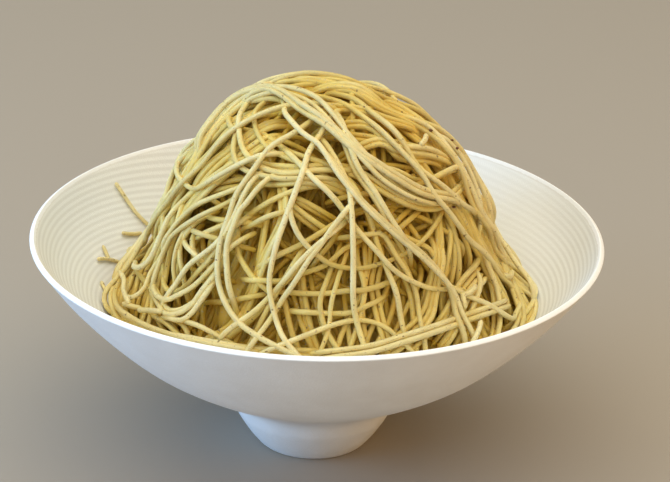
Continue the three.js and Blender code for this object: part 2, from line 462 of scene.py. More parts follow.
def bundle_guides(count):
    """Walks that start in the skirt, go over the top and turn back in the skirt on the other side."""
    sides = np.where(dice.random(count) < 0.5, 0, math.pi) + dice.normal(0, SIDE_SPREAD, count)
    around = dice.uniform(0, 2 * math.pi, count)
    azimuths = np.where(dice.random(count) < SIDEWAYS_SHARE, sides, around)
    starts = dome_directions(azimuths, np.full(count, BUNDLE_START))
    aside = dome_directions(azimuths + math.pi / 2, np.full(count, math.pi / 2))
    headings = np.array([0, 0, 1.0]) + aside * dice.normal(0, HEADING_SPREAD, count)[:, None]
    return walks(starts, headings, BUNDLE_STEPS, BUNDLE_WANDER)


def beside(path, distances):
    """A path that keeps a distance in mm beside another one."""
    left = normalised(np.cross(path, np.gradient(path, axis=0)))
    return normalised(path + left * (distances / MM_PER_RADIAN)[:, None])


def bundle(guide, members, spacing, sway):
    """Paths side by side along a guide, a spacing of strand widths apart, each swaying a little."""
    sways = smooth_noise(members, len(guide), SWAY_REACH) * sway
    middle = (members - 1) / 2
    return [beside(guide, (k - middle) * STRAND_WIDTH * spacing + line) for k, line in enumerate(sways)]


bundles = []
for guide in bundle_guides(BUNDLE_COUNT):
    for path in bundle(guide, int(dice.integers(1, BUNDLE_MOST + 1)), BUNDLE_SPACING, BUNDLE_SWAY):
        path = path[int(dice.integers(0, BUNDLE_CUT)):-int(dice.integers(1, BUNDLE_CUT))]
        bundles.append(lay(inner_heap, path, BUNDLE_SAG))
print("strands in bundles:", len(bundles))

# %% [markdown]
# Where the nozzle turned, the strands lie in loops round the crown. A loop is a ring round a middle on the
# dome, with a wobble, so that it isn't a true circle.

# %% Loops
LOOP_COUNT = 9
LOOP_POLARS = (0.2, 0.75)
LOOP_RADII = (0.25, 0.45)
LOOP_TURNS = (4, 7.5)
LOOP_WOBBLE = 0.12
LOOP_AXIS = [0.3, 0.2, 1]
ANY_TURN = (0, 6)


def loop_path():
    """A wobbly ring on the dome, or the better part of one."""
    middle_angles = dice.uniform([0, LOOP_POLARS[0]], [2 * math.pi, LOOP_POLARS[1]])
    middle = dome_directions(*middle_angles[:, None])[0]
    across = normalised(np.cross(middle, LOOP_AXIS))
    upwards = np.cross(across, middle)
    radius = dice.uniform(*LOOP_RADII)
    turns = dice.uniform(*ANY_TURN) + np.arange(0, dice.uniform(*LOOP_TURNS), STEP_ANGLE / radius)
    wobble = 1 + LOOP_WOBBLE * np.sin(2 * turns + dice.uniform(*ANY_TURN))
    ring = np.cos(turns)[:, None] * across + np.sin(turns)[:, None] * upwards
    return normalised(middle + np.tan(radius) * wobble[:, None] * ring)


bundles += [lay(inner_heap, loop_path(), BUNDLE_SAG) for _ in range(LOOP_COUNT)]
print("strands in bundles and loops:", len(bundles))

# %% [markdown]
# Now the heap is as high as it happened to come out. Its height, smoothed over a centimetre, is taken off
# again, so that it follows the nest's outer line and keeps its small bumps.

# %% Smoothed maps
SMOOTHING = 9
NEST_EDGE = math.radians(99)
LEAST_SHARE = 0.05


def blurred(field, reach_mm):
    """A map smoothed over a distance."""
    spread = reach_mm / CELL
    weights = bell(spread, math.ceil(3 * spread))
    weights /= weights.sum()
    for axis in (0, 1):
        field = np.apply_along_axis(lambda line: np.convolve(line, weights, mode="same"), axis, field)
    return field


row_grid, column_grid = np.indices((MAP_SIDE, MAP_SIDE))
reach_grid = np.hypot(row_grid - MAP_MIDDLE, column_grid - MAP_MIDDLE) * CELL
azimuth_grid = np.arctan2(row_grid - MAP_MIDDLE, column_grid - MAP_MIDDLE)
grid_directions = dome_directions(azimuth_grid.ravel(), reach_grid.ravel() / MM_PER_RADIAN)
on_nest = (reach_grid < NEST_EDGE * MM_PER_RADIAN).astype(float)


def level_of(heap, reach_mm):
    """The height of the heap over the nest, smoothed over a distance."""
    return blurred(heap * on_nest, reach_mm) / np.maximum(blurred(on_nest, reach_mm), LEAST_SHARE)


inner_level = level_of(inner_heap, SMOOTHING)
print("mean height of the heap in mm:", round(float(inner_level[on_nest > 0].mean()), 1))

# %% [markdown]
# The real nest is hollow behind its outermost strands in front, below the crown, so the heap is sunk there.
# Soft dents do this, and later also the fine corrections of the form: each is named by the pixel where it
# shows.

# %% Hollows in front
BASE_DEPTH = 2.2


def dents(table):
    """A map of dents, each given by the pixel where it shows, its reach in degrees and its depth in mm."""
    field = np.zeros(len(grid_directions))
    for pixel, reach, depth in table:
        angle = np.arccos(np.clip(grid_directions @ direction_seen(*pixel), -1, 1))
        field += depth * np.exp(-((angle / math.radians(reach)) ** 2))
    return field.reshape(MAP_SIDE, MAP_SIDE)


hollows = dents([
    ((330, 228), 24, 7.0),
    ((328, 200), 5, 4.0),
    ((292, 206), 7, 3.0),
    ((388, 212), 7, 3.0),
    ((222, 262), 10, 4.0),
    ((276, 104), 5, 2.0),
    ((300, 140), 12, 0.8),
    ((425, 235), 9, 3.0),
])
taken_off = inner_level + BASE_DEPTH + hollows
tangle = [(path, heights - looked_up(taken_off, path)) for path, heights in tangle]
bundles = [(path, heights - looked_up(taken_off, path)) for path, heights in bundles]
outer_heap = inner_heap - taken_off
print("mean height taken off the heap in mm:", round(float(taken_off[on_nest > 0].mean()), 1))

# %% [markdown]
# The outermost strands are the ones that everyone sees. The photograph doesn't show the back, so bundles
# are laid there by the same rules as before. The middle of the front is kept clear of them: a bundle ends
# where it strays too near to it, and is left out if what remains is too short. This first lot keeps only
# the bundles that never stray.

# %% Bundles at the back
OUTER_SAG = 0.028
BACK_BUNDLES = 60
BACK_MOST = 3
BACK_SPACING = 1.2
BACK_SWAY = 1.2
FRONT_REACH = math.radians(38)

back = []


def up_to(path, strayed):
    """A path up to its first step that strays."""
    return path[:int(np.argmax(strayed))] if strayed.any() else path


def lay_at_the_back(count, kept_clear, shortest):
    """Lays bundles that end where they come too near to the middle of the front, if they are long enough."""
    for guide in bundle_guides(count):
        guide = up_to(guide, guide @ FRONT_MIDDLE > math.cos(kept_clear))
        if len(guide) < shortest:
            continue
        for path in bundle(guide, int(dice.integers(1, BACK_MOST + 1)), BACK_SPACING, BACK_SWAY):
            back.append(lay(outer_heap, path, OUTER_SAG))


lay_at_the_back(BACK_BUNDLES, FRONT_REACH, BUNDLE_STEPS)
print("strands at the back:", len(back))

# %% [markdown]
# Short single strands lie in front in every direction, below the ones that the photograph shows. They start
# round the middle of the front, wander, and end before they come round the sides.

# %% Single strands
SINGLE_COUNT = 60
SINGLE_STEPS = 60
SINGLE_LEAST = 30
SINGLE_REACH = 0.55
SINGLE_SHARES = [1, 0.3, 0.7]
SINGLE_TURNING = 1.3
SINGLE_WANDER = 0.02
SINGLE_LIMIT = math.radians(58)
DIVE_REACH = 9

singles = []
single_starts = FRONT_MIDDLE + dice.normal(0, SINGLE_REACH, (SINGLE_COUNT, 3)) * SINGLE_SHARES
single_headings = np.array([0, 0, 1.0]) + dice.normal(0, SINGLE_TURNING, (SINGLE_COUNT, 3))
for path in walks(single_starts, single_headings, SINGLE_STEPS, SINGLE_WANDER):
    path = path[:int(dice.integers(SINGLE_LEAST, SINGLE_STEPS))]
    path = up_to(path, path @ FRONT_MIDDLE < math.cos(SINGLE_LIMIT))
    if len(path) > DIVE_REACH:
        singles.append(lay(outer_heap, path, OUTER_SAG))
print("single strands:", len(singles))

# %% [markdown]
# The strands in front are laid where the photograph shows them. Each row gives how many lie side by side
# and a few pixels along their line. They still rest on the heap below them, so they sit right when seen
# from any side. Strands side by side fuse to a heavier sheet, which sags more and so lies closer to what is
# below it. The lowest rows come first: those that show in the hollow and through the gaps between the
# others.

# %% Laying strands in front
SHEET_WEIGHT = 0.5
SHEET_SPACING = 0.9
SHEET_SWAY = 0.25
EXTENSION = 10
LEAST_SAMPLES = 5

front = []


def path_through(pixels, extension=EXTENSION):
    """A walk over the dome along a line of pixels, run on by some steps at both ends."""
    line = np.array([direction_seen(*pixel) for pixel in pixels])
    before = line[0] + normalised(line[0] - line[1]) * extension * STEP_ANGLE
    after = line[-1] + normalised(line[-1] - line[-2]) * extension * STEP_ANGLE
    line = np.concatenate([[before], line, [after]])
    return normalised(smooth_line(line, max(LEAST_SAMPLES, int(length_of(line) / STEP_ANGLE))))


def lay_in_front(table):
    """Lays the rows of a table on the heap."""
    for members, pixels in table:
        sag = OUTER_SAG * (1 + SHEET_WEIGHT * (members - 1))
        for path in bundle(path_through(pixels), members, SHEET_SPACING, SHEET_SWAY):
            front.append(lay(outer_heap, path, sag))
    print("strands in front so far:", len(front))


# %% Deep strands in front
DEEP_FRONT_STRANDS = [
    (3, [(264, 202), (260, 225), (257, 245), (252, 268)]),
    (3, [(302, 203), (318, 212), (335, 221), (350, 229), (364, 234)]),
    (2, [(293, 207), (304, 216), (317, 225), (330, 232), (346, 240), (360, 244)]),
    (3, [(277, 170), (281, 198), (281, 220), (263, 254), (242, 300), (222, 328), (210, 335)]),
    (1, [(230, 229), (249, 224), (262, 219)]),
    (1, [(349, 219), (341, 226), (335, 235), (328, 244), (318, 256)]),
    (1, [(241, 213), (259, 203), (283, 191), (300, 185)]),
    (1, [(231, 220), (231, 249), (236, 260), (247, 275), (262, 290)]),
    (2, [(300, 282), (303, 302), (308, 321), (315, 342), (320, 352)]),
    (1, [(283, 305), (288, 322), (293, 336), (300, 350)]),
    (1, [(289, 300), (296, 318), (303, 332), (312, 350)]),
    (1, [(378, 246), (373, 270), (364, 298), (345, 329), (338, 347)]),
    (1, [(370, 250), (369, 275), (366, 300), (366, 321), (372, 345)]),
    (1, [(362, 244), (362, 262), (368, 290), (362, 320), (352, 348)]),
    (1, [(395, 288), (383, 313), (373, 331), (366, 348)]),
    (1, [(408, 285), (399, 310), (388, 329), (377, 346)]),
    (1, [(423, 292), (410, 313), (400, 330)]),
    (2, [(386, 235), (388, 255), (380, 285), (383, 312), (392, 342)]),
    (1, [(288, 291), (321, 292), (345, 289), (366, 288), (392, 281), (406, 274)]),
    (1, [(308, 313), (332, 314), (351, 313), (370, 306)]),
    (1, [(392, 226), (398, 213), (407, 204), (420, 197)]),
    (1, [(399, 226), (411, 213), (426, 201)]),
    (1, [(405, 229), (420, 216), (434, 205)]),
    (2, [(380, 203), (399, 200), (422, 199)]),
    (2, [(452, 204), (449, 225), (448, 247), (442, 274), (434, 300)]),
    (1, [(459, 218), (463, 240), (466, 259), (469, 286)]),
    (1, [(467, 205), (473, 225), (479, 245)]),
    (1, [(403, 230), (421, 239), (436, 247), (444, 261), (450, 277)]),
    (2, [(406, 262), (414, 280), (419, 299), (421, 322), (418, 342)]),
    (3, [(444, 268), (440, 290), (434, 311), (421, 327), (404, 340)]),
    (1, [(460, 302), (450, 318), (437, 329), (424, 340)]),
    (2, [(456, 300), (466, 282), (478, 268), (490, 258)]),
    (3, [(525, 245), (508, 262), (489, 273), (472, 292), (462, 315)]),
    (2, [(490, 245), (500, 275), (505, 303), (506, 316), (500, 335)]),
    (1, [(480, 290), (477, 306), (472, 322)]),
    (1, [(335, 262), (328, 278), (320, 300), (322, 318), (329, 333), (340, 350)]),
    (1, [(345, 262), (338, 280), (331, 304), (329, 326), (320, 350)]),
    (1, [(280, 253), (300, 243), (319, 232), (334, 222)]),
    (1, [(257, 282), (278, 283), (300, 276), (326, 267), (345, 251), (358, 244)]),
    (1, [(236, 326), (255, 312), (268, 298), (290, 276)]),
    (1, [(248, 336), (262, 313), (276, 291), (290, 268)]),
    (1, [(292, 196), (289, 211), (297, 234), (313, 253), (332, 266), (358, 270), (381, 266),
         (405, 257), (424, 245), (446, 218)]),
    (2, [(205, 160), (225, 152), (262, 160), (300, 164), (345, 160), (380, 172)]),
    (2, [(212, 180), (235, 175), (275, 178), (310, 178), (345, 186)]),
    (1, [(240, 120), (256, 124), (290, 146), (331, 161), (352, 175)]),
    (1, [(188, 209), (201, 216), (213, 219), (225, 220)]),
    (1, [(184, 240), (203, 232), (221, 224)]),
    (1, [(184, 230), (199, 235), (217, 241)]),
    (1, [(188, 252), (190, 260), (192, 268)]),
    (1, [(180, 242), (190, 251), (198, 261)]),
    (1, [(203, 300), (219, 302), (235, 300)]),
    (1, [(182, 231), (176, 240), (174, 252), (174, 265), (174, 279)]),
    (1, [(176, 240), (171, 255), (167, 268), (166, 283)]),
]
lay_in_front(DEEP_FRONT_STRANDS)

# %% [markdown]
# At both flanks the strands hang down in sheets from the crown. Below them they lie in loose hooks and
# loops on the bowl's wall.

# %% Strands of the flanks
FLANK_STRANDS = [
    (3, [(170, 190), (160, 215), (152, 232), (143, 246), (134, 262), (127, 280)]),
    (4, [(268, 92), (225, 112), (190, 145), (172, 170), (160, 200), (143, 235), (125, 262), (112, 290)]),
    (4, [(290, 78), (235, 96), (200, 130), (178, 155), (166, 180), (157, 205), (152, 235), (140, 262),
         (130, 292)]),
    (4, [(240, 112), (205, 145), (180, 175), (164, 205), (160, 232), (150, 262), (136, 285),
         (131, 310)]),
    (3, [(258, 118), (225, 142), (200, 165), (182, 192), (168, 225), (164, 258), (150, 290)]),
    (4, [(250, 140), (222, 163), (195, 190), (173, 216), (162, 238), (155, 262), (150, 285)]),
    (1, [(128, 260), (136, 275), (143, 290), (147, 305)]),
    (1, [(153, 262), (147, 285), (144, 305), (142, 319)]),
    (1, [(141, 288), (138, 302), (135, 315)]),
    (1, [(148, 292), (159, 310), (168, 324), (177, 335)]),
    (1, [(166, 312), (180, 321), (189, 338)]),
    (1, [(182, 322), (201, 329), (223, 341)]),
    (1, [(149, 313), (162, 321), (174, 332)]),
    (1, [(216, 262), (210, 284), (201, 302), (191, 315), (180, 321), (168, 318)]),
    (2, [(217, 256), (211, 272), (200, 289), (192, 302), (181, 310), (172, 312), (164, 310),
         (157, 302), (149, 290)]),
    (1, [(222, 253), (201, 274), (189, 287), (177, 294), (168, 298), (159, 296), (151, 287),
         (150, 272)]),
    (1, [(224, 236), (208, 257), (192, 272), (180, 283), (169, 289), (162, 289), (156, 282),
         (154, 268)]),
    (1, [(174, 208), (169, 227), (164, 240), (149, 268), (143, 285), (134, 295), (126, 296),
         (122, 289), (124, 276)]),
    (1, [(240, 187), (218, 201), (201, 212), (190, 219), (180, 225), (170, 233), (165, 240),
         (160, 255), (156, 269)]),
    (1, [(238, 184), (223, 191), (199, 201), (185, 210), (175, 220), (165, 235)]),
    (1, [(228, 160), (208, 173), (185, 192), (174, 204), (167, 217), (162, 232), (156, 247),
         (150, 259), (142, 267), (134, 267), (130, 259), (131, 248)]),
    (3, [(104, 280), (106, 304), (119, 316), (144, 329), (190, 341), (240, 349), (292, 353)]),
    (1, [(125, 262), (111, 284), (114, 302), (137, 320), (180, 337), (230, 347)]),
    (3, [(410, 99), (425, 112), (448, 138), (464, 162), (474, 184), (484, 212), (492, 235)]),
    (3, [(414, 108), (430, 122), (455, 152), (474, 180), (490, 212), (497, 238), (512, 260),
         (530, 282)]),
    (3, [(403, 104), (420, 120), (448, 155), (468, 185), (484, 215), (500, 250), (520, 280)]),
    (4, [(420, 150), (446, 182), (466, 205), (482, 232), (495, 262), (508, 288)]),
    (3, [(450, 150), (470, 190), (480, 222), (492, 250), (515, 275), (530, 298)]),
    (3, [(498, 235), (515, 262), (532, 276), (539, 296), (532, 316)]),
    (2, [(510, 262), (528, 285), (540, 304), (536, 322)]),
    (2, [(512, 268), (520, 288), (526, 308), (520, 325)]),
    (1, [(493, 266), (502, 290), (506, 312), (503, 331)]),
]
lay_in_front(FLANK_STRANDS)

# %% [markdown]
# The rows on top come last, because they cross all the others: loops below the crown, long strands that
# hang through the hollow, sheets that sweep from the left under the crown, and the ones that run down to
# the right.

# %% Strands on top
TOP_FRONT_STRANDS = [
    (1, [(222, 104), (225, 117), (232, 126)]),
    (1, [(262, 92), (252, 104), (252, 119), (258, 133), (268, 144), (289, 154), (309, 162)]),
    (1, [(235, 124), (231, 137), (230, 149), (235, 161), (246, 169), (265, 174), (286, 177),
         (320, 175)]),
    (1, [(254, 88), (245, 96), (238, 112), (237, 128), (239, 143), (249, 157), (262, 165), (285, 170),
         (310, 167), (341, 165)]),
    (2, [(300, 92), (345, 96), (385, 108), (415, 118)]),
    (2, [(330, 118), (362, 126), (395, 137), (420, 142), (450, 155)]),
    (2, [(340, 112), (375, 120), (405, 150), (440, 155)]),
    (2, [(360, 140), (385, 137), (400, 145), (430, 150), (455, 158)]),
    (1, [(385, 166), (400, 169), (420, 175), (440, 175), (458, 167)]),
    (1, [(362, 191), (381, 189), (407, 185), (432, 180), (462, 166)]),
    (2, [(372, 176), (389, 187), (410, 199), (432, 204), (450, 202), (462, 192), (474, 178)]),
    (1, [(362, 195), (372, 215), (378, 234), (389, 269), (399, 301), (407, 331)]),
    (1, [(370, 235), (385, 234), (397, 254), (410, 274), (420, 296), (423, 322)]),
    (1, [(296, 158), (312, 176), (333, 196), (346, 211), (366, 238), (393, 268), (415, 282),
         (437, 289), (458, 289)]),
    (1, [(325, 238), (312, 249), (299, 262), (284, 280), (268, 297), (252, 312), (238, 323)]),
    (1, [(345, 212), (337, 222), (329, 233), (321, 245), (310, 259), (300, 275), (292, 287),
         (283, 299), (273, 314), (257, 338)]),
    (1, [(283, 345), (310, 334), (332, 326), (354, 321), (373, 322), (389, 328), (403, 341)]),
    (1, [(330, 148), (346, 180), (350, 207), (352, 256), (353, 303), (366, 348)]),
    (2, [(341, 120), (355, 160), (374, 191), (390, 219), (403, 238)]),
    (2, [(335, 352), (372, 347), (404, 338), (436, 328), (468, 317), (492, 309), (508, 303)]),
    (1, [(467, 294), (487, 304), (503, 314), (515, 318), (521, 309)]),
    (1, [(245, 190), (228, 226), (212, 246), (187, 266), (172, 288)]),
    (1, [(255, 190), (245, 203), (239, 210), (234, 223), (229, 235), (226, 249), (226, 263),
         (227, 276)]),
    (1, [(311, 113), (292, 132), (270, 147), (252, 171), (236, 195), (230, 214), (221, 242),
         (218, 270), (222, 292), (231, 311), (247, 328), (292, 353)]),
    (1, [(325, 122), (309, 149), (303, 172), (290, 208), (276, 250), (270, 290), (282, 331),
         (301, 356)]),
    (1, [(333, 160), (350, 185), (366, 204), (397, 233), (427, 258), (452, 290), (460, 318)]),
    (1, [(282, 98), (286, 112), (303, 132), (319, 143), (338, 172), (357, 196), (373, 213), (400, 237),
         (427, 260), (455, 292), (466, 316)]),
    (3, [(150, 224), (160, 205), (173, 181), (190, 152), (215, 118), (240, 98), (264, 90)]),
    (1, [(252, 158), (237, 165), (221, 174), (205, 182), (190, 187), (180, 182), (174, 172),
         (177, 158), (190, 142)]),
    (1, [(305, 98), (293, 99), (274, 106), (233, 129), (204, 157), (180, 182), (153, 219), (135, 246),
         (118, 267), (107, 290), (110, 308)]),
    (2, [(258, 92), (278, 87), (294, 88), (312, 96), (330, 115), (345, 135), (364, 156), (385, 176),
         (408, 192), (430, 199), (450, 198), (464, 188)]),
    (2, [(205, 128), (222, 109), (241, 96), (262, 88), (280, 91), (300, 104), (329, 125), (356, 149),
         (378, 164), (400, 178), (425, 191), (455, 197)]),
    (1, [(320, 81), (355, 101), (391, 138), (422, 173), (434, 194), (449, 212), (467, 236), (484, 252),
         (496, 264), (508, 276)]),
    (1, [(336, 79), (383, 117), (415, 156), (430, 174), (452, 194), (467, 207), (482, 212)]),
    (1, [(448, 140), (462, 157), (471, 174), (478, 192), (484, 212)]),
    (2, [(343, 78), (385, 96), (422, 119), (450, 150), (470, 184), (484, 216), (503, 252)]),
    (2, [(330, 75), (391, 96), (422, 113), (450, 137), (474, 167), (490, 205), (508, 247)]),
]
lay_in_front(TOP_FRONT_STRANDS)

# %% [markdown]
# A second lot of bundles closes the back and the sides. Each one is cut off well before it comes to the
# front, so none of them hides a strand that the photograph shows. Short loose bits come last.

# %% Far bundles and loose bits
FAR_BUNDLES = 60
FAR_REACH = math.radians(82)
FAR_STEPS = 45
LOOSE_BITS = [
    [(125, 303), (129, 304), (134, 305)],
    [(142, 310), (150, 310), (159, 311)],
    [(120, 272), (124, 279), (124, 290), (128, 300)],
    [(465, 302), (463, 296), (467, 291), (472, 293), (474, 289)],
    [(480, 325), (478, 332), (474, 339)],
    [(423, 142), (425, 140), (426, 137)],
    [(509, 275), (512, 276), (514, 272)],
]
lay_at_the_back(FAR_BUNDLES, FAR_REACH, FAR_STEPS)
bits = [lay(outer_heap, path_through(pixels, 1), BUNDLE_SAG) for pixels in LOOSE_BITS]
print("strands at the back, and loose bits:", len(back), len(bits))

# %% [markdown]
# The outermost strands have made the heap higher again, so its smoothed height is taken off once more.
# Dents with a depth below zero are rises: they lift the outline where the real one stands higher.

# %% The heap's rise
HEADROOM = 1.9
RISE_SMOOTHING = 5
DEEPEST_COUNTED = -2.5
lowered = dents([
    ((320, 76), 14, 2.6),
    ((400, 98), 10, 3.2),
    ((270, 84), 8, -1.0),
    ((533, 298), 7, -0.9),
])
rise = level_of(np.maximum(outer_heap, DEEPEST_COUNTED), RISE_SMOOTHING) + HEADROOM + lowered
print("mean rise taken off in mm:", round(float(rise[on_nest > 0].mean()), 1))

# %% [markdown]
# Soft strands settle into each other under their own weight, so what lies deep is drawn nearer to the
# outside, and what stands out is pressed down. Their ends dive into the paste below, as they stick to it.

# %% Settled strands
SOFT_FROM = -1.2
SOFT_RANGE = 1.2
DEEP_FROM = -1.7
DEEP_SHARE = 0.4
DIVE_DEPTH = 4.0
EVENED_OVER = 2.5
EVENED_REACH = int(3 * EVENED_OVER)


def settled(heights):
    """Heights with what stands out pressed down softly, and what lies deep drawn nearer to the outside."""
    over = np.maximum(heights - SOFT_FROM, 0)
    under = np.maximum(DEEP_FROM - heights, 0)
    pressed = SOFT_RANGE * np.tanh(over / SOFT_RANGE)
    return np.clip(heights, DEEP_FROM, SOFT_FROM) + pressed - DEEP_SHARE * under


def dive(count):
    """How far a strand of this many steps sinks into the heap towards its ends."""
    to_end = np.minimum(np.arange(count), np.arange(count)[::-1]) * STEP
    return DIVE_DEPTH * np.clip(1 - to_end / DIVE_REACH, 0, 1) ** 2


print("a strand's end lies deeper by", dive(2).max(), "mm, and its middle by", dive(99).min(), "mm")

# %% [markdown]
# The core is paste in one mass, close below the strands, with a few deeper, dark holes. At some places it
# lies nearly bare in the photograph, so it is raised there. The form of the crown and of the right flank is
# corrected on the core and the strands alike, after they have settled.

# %% The core's height
CORE_DROP = 0.95
CORE_SMOOTHING = 1.2
crown_form = dents([
    ((394, 90), 12, 2.2),
    ((425, 110), 8, -0.5),
    ((312, 72), 10, 1.9),
    ((250, 88), 12, -1.3),
    ((360, 78), 6, -0.8),
    ((490, 205), 7, -1.1),
    ((499, 226), 9, -1.1),
    ((514, 252), 8, -1.1),
    ((531, 280), 7, -1.2),
    ((542, 301), 8, -1.8),
])
holes = dents([
    ((330, 204), 4.5, 6),
    ((313, 194), 2.5, 5),
    ((247, 238), 2.5, 6),
    ((242, 198), 2, 5),
    ((413, 257), 2.5, 6),
    ((373, 240), 2.5, 5),
    ((160, 280), 2.5, 5),
    ((190, 316), 2.5, 5),
    ((355, 165), 2.5, 5),
    ((345, 290), 3, 4),
    ((438, 300), 2.5, 4),
    ((402, 305), 2.5, 4),
])
bare_paste = dents([
    ((219, 207), 3.5, 3.0),
    ((202, 224), 4, 3.2),
    ((196, 242), 4, 3.2),
    ((185, 264), 4, 2.6),
    ((236, 279), 5, 1.0),
    ((214, 310), 6, 1.3),
    ((225, 270), 10, 0.9),
    ((274, 94), 5, 1.8),
    ((330, 105), 14, 2.2),
    ((405, 128), 10, 0.9),
    ((147, 234), 5, 2.0),
    ((205, 150), 10, 1.8),
    ((470, 215), 6, 0.7),
    ((483, 178), 7, 2.7),
    ((402, 98), 4, 1.0),
    ((455, 147), 4, 1.0),
    ((150, 243), 6, 1.2),
    ((136, 240), 8, 2.2),
    ((350, 337), 3, 1.0),
    ((447, 300), 3, 0.8),
])
core_height = settled(blurred(inner_heap - taken_off, CORE_SMOOTHING) - rise) - CORE_DROP
core_height += bare_paste - holes - crown_form
print("mean depth of the core in mm:", round(float(-core_height[on_nest > 0].mean()), 1))

# %% [markdown]
# Only the stretches that show over the core are made, and nothing that lies hidden in it. The inner strands
# sink into the holes with the core, while the outermost ones span them.

# %% What shows
SUNK_AT_MOST = 1.2
SHORTEST_RUN = 4


def showing(strands, dive_share=1, sunk=0):
    """The stretches of strands that show over the core, with the heap's rise taken off."""
    runs = []
    for path, heights in strands:
        heights = settled(heights - looked_up(rise, path)) - looked_up(sunk + crown_form, path)
        heights = smoothed(heights, EVENED_OVER, EVENED_REACH) - dive_share * dive(len(path))
        shows = heights > looked_up(core_height, path) - SUNK_AT_MOST
        edges = np.flatnonzero(np.diff(np.concatenate([[0], shows.astype(int), [0]])))
        for first, last in zip(edges[::2], edges[1::2]):
            if last - first >= SHORTEST_RUN:
                runs.append((path[first:last], heights[first:last]))
    return runs


tangle, bundles = [showing(strands, 1, holes) for strands in (tangle, bundles + singles)]
back, front = [showing(strands) for strands in (back, front)]
bits = showing(bits, 0)
print("stretches that show:", [len(strands) for strands in (tangle, bundles, back, front, bits)])
print("highest in front in mm:", round(max(float(heights.max()) for _, heights in front), 1))

# %% [markdown]
# Each strand becomes a closed tube with rounded ends. The nozzle made it round, but it is soft, so its ring
# is slightly squared off and flattened, and its thickness a little uneven. Hundreds of strands are too many
# for operators one by one, so their rings are worked out as arrays.

# %% Rings of a tube
TUBE_SIDES = 8
TUBE_STEP = 2.0
TUBE_SQUARENESS = 0.78
TUBE_FLATNESS = 0.95
LEAST_RINGS = 4
UNEVENNESS = 0.04
UNEVEN_REACH = 4
END_SCALES = np.array([0.35, 0.8])
END_REACH = np.array([0.5, 0.2])
NEST_HEART = np.array([NEST_MIDDLE_X, 0, 55])


def squared_off(wave, power):
    """A wave made squarer, by a power below 1."""
    return np.sign(wave) * np.abs(wave) ** power


def tube_rings(points, width):
    """The rings of a tube round a line of points, and how far along it each ring is."""
    lengths = lengths_along(points)
    count = max(LEAST_RINGS, int(lengths[-1] / TUBE_STEP))
    even = np.linspace(0, lengths[-1], count)
    middle = points_at(even, lengths, points)
    along = normalised(np.gradient(middle, axis=0))
    side = normalised(np.cross(along, middle - NEST_HEART))
    up = np.cross(side, along)
    thickness = width * (1 + UNEVENNESS * smooth_noise(1, count, UNEVEN_REACH)[0])
    before = middle[0] - along[0] * width * END_REACH[:, None]
    after = middle[-1] + along[-1] * width * END_REACH[::-1, None]
    middle = np.concatenate([before, middle, after])
    thickness = np.concatenate([thickness[0] * END_SCALES, thickness, thickness[-1] * END_SCALES[::-1]])
    side, up = [np.concatenate([line[:1], line[:1], line, line[-1:], line[-1:]]) for line in (side, up)]
    turns = (np.arange(TUBE_SIDES) + 0.5) * 2 * math.pi / TUBE_SIDES
    across, over = [squared_off(wave, TUBE_SQUARENESS) for wave in (np.cos(turns), np.sin(turns))]
    ring = across[None, :, None] * side[:, None] + over[None, :, None] * up[:, None] * TUBE_FLATNESS
    shares = np.concatenate([[0, 0], even / lengths[-1], [1, 1]])
    return middle[:, None] + ring * thickness[:, None, None] / 2, shares


# %% [markdown]
# All tubes of a family are joined into one mesh. Two attributes go with it for the paste's colour: a tone
# of its own for each strand, and how deep each place lies in the heap.

# %% Tubes as one mesh
def tubes_mesh(name, tubes):
    """One mesh of closed tubes, each given as its rings, the depth at each ring and its tone."""
    corners, quads, caps, tones, depths = [], [], [], [], []
    offset = 0
    around = np.arange(TUBE_SIDES)
    for rings, ring_depths, tone in tubes:
        count = len(rings)
        corners.append(rings.reshape(-1, 3))
        first = offset + np.arange(count - 1)[:, None] * TUBE_SIDES + around
        second = offset + np.arange(count - 1)[:, None] * TUBE_SIDES + (around + 1) % TUBE_SIDES
        four_corners = np.stack([first, second, second + TUBE_SIDES, first + TUBE_SIDES], axis=-1)
        quads.append(four_corners.reshape(-1, 4))
        caps.append(offset + around[::-1])
        caps.append(offset + (count - 1) * TUBE_SIDES + around)
        tones.append(np.full(count * TUBE_SIDES, tone))
        depths.append(np.repeat(ring_depths, TUBE_SIDES))
        offset += count * TUBE_SIDES
    corners = np.concatenate(corners) * MM
    quads = np.concatenate(quads)
    caps = np.array(caps)
    mesh = bpy.data.meshes.new(name)
    mesh.vertices.add(len(corners))
    mesh.vertices.foreach_set("co", corners.ravel())
    mesh.loops.add(quads.size + caps.size)
    mesh.loops.foreach_set("vertex_index", np.concatenate([quads.ravel(), caps.ravel()]))
    starts = np.concatenate([np.arange(len(quads)) * 4, quads.size + np.arange(len(caps)) * TUBE_SIDES])
    mesh.polygons.add(len(starts))
    mesh.polygons.foreach_set("loop_start", starts)
    mesh.update(calc_edges=True)
    mesh.shade_smooth()
    for title, values in (("tone", tones), ("depth", depths)):
        attribute = mesh.attributes.new(title, "FLOAT", "POINT")
        attribute.data.foreach_set("value", np.concatenate(values).astype(np.float32))
    print(name, "has", len(tubes), "strands and", len(quads) * 2 + len(caps) * (TUBE_SIDES - 2), "triangles")
    return new_object(name, mesh)


# %% [markdown]
# Near the skirt the strands rest on the bowl, so what would go through its wall is moved to just inside it.
# A family that grows too large for one mesh goes on in a second piece.

# %% Families of strands
MOST_TRIANGLES = 190000
WIDTH_RANGE = (0.92, 1.03)
WALL_ROOM = 0.6 * STRAND_WIDTH
UNLIMITED = 1000


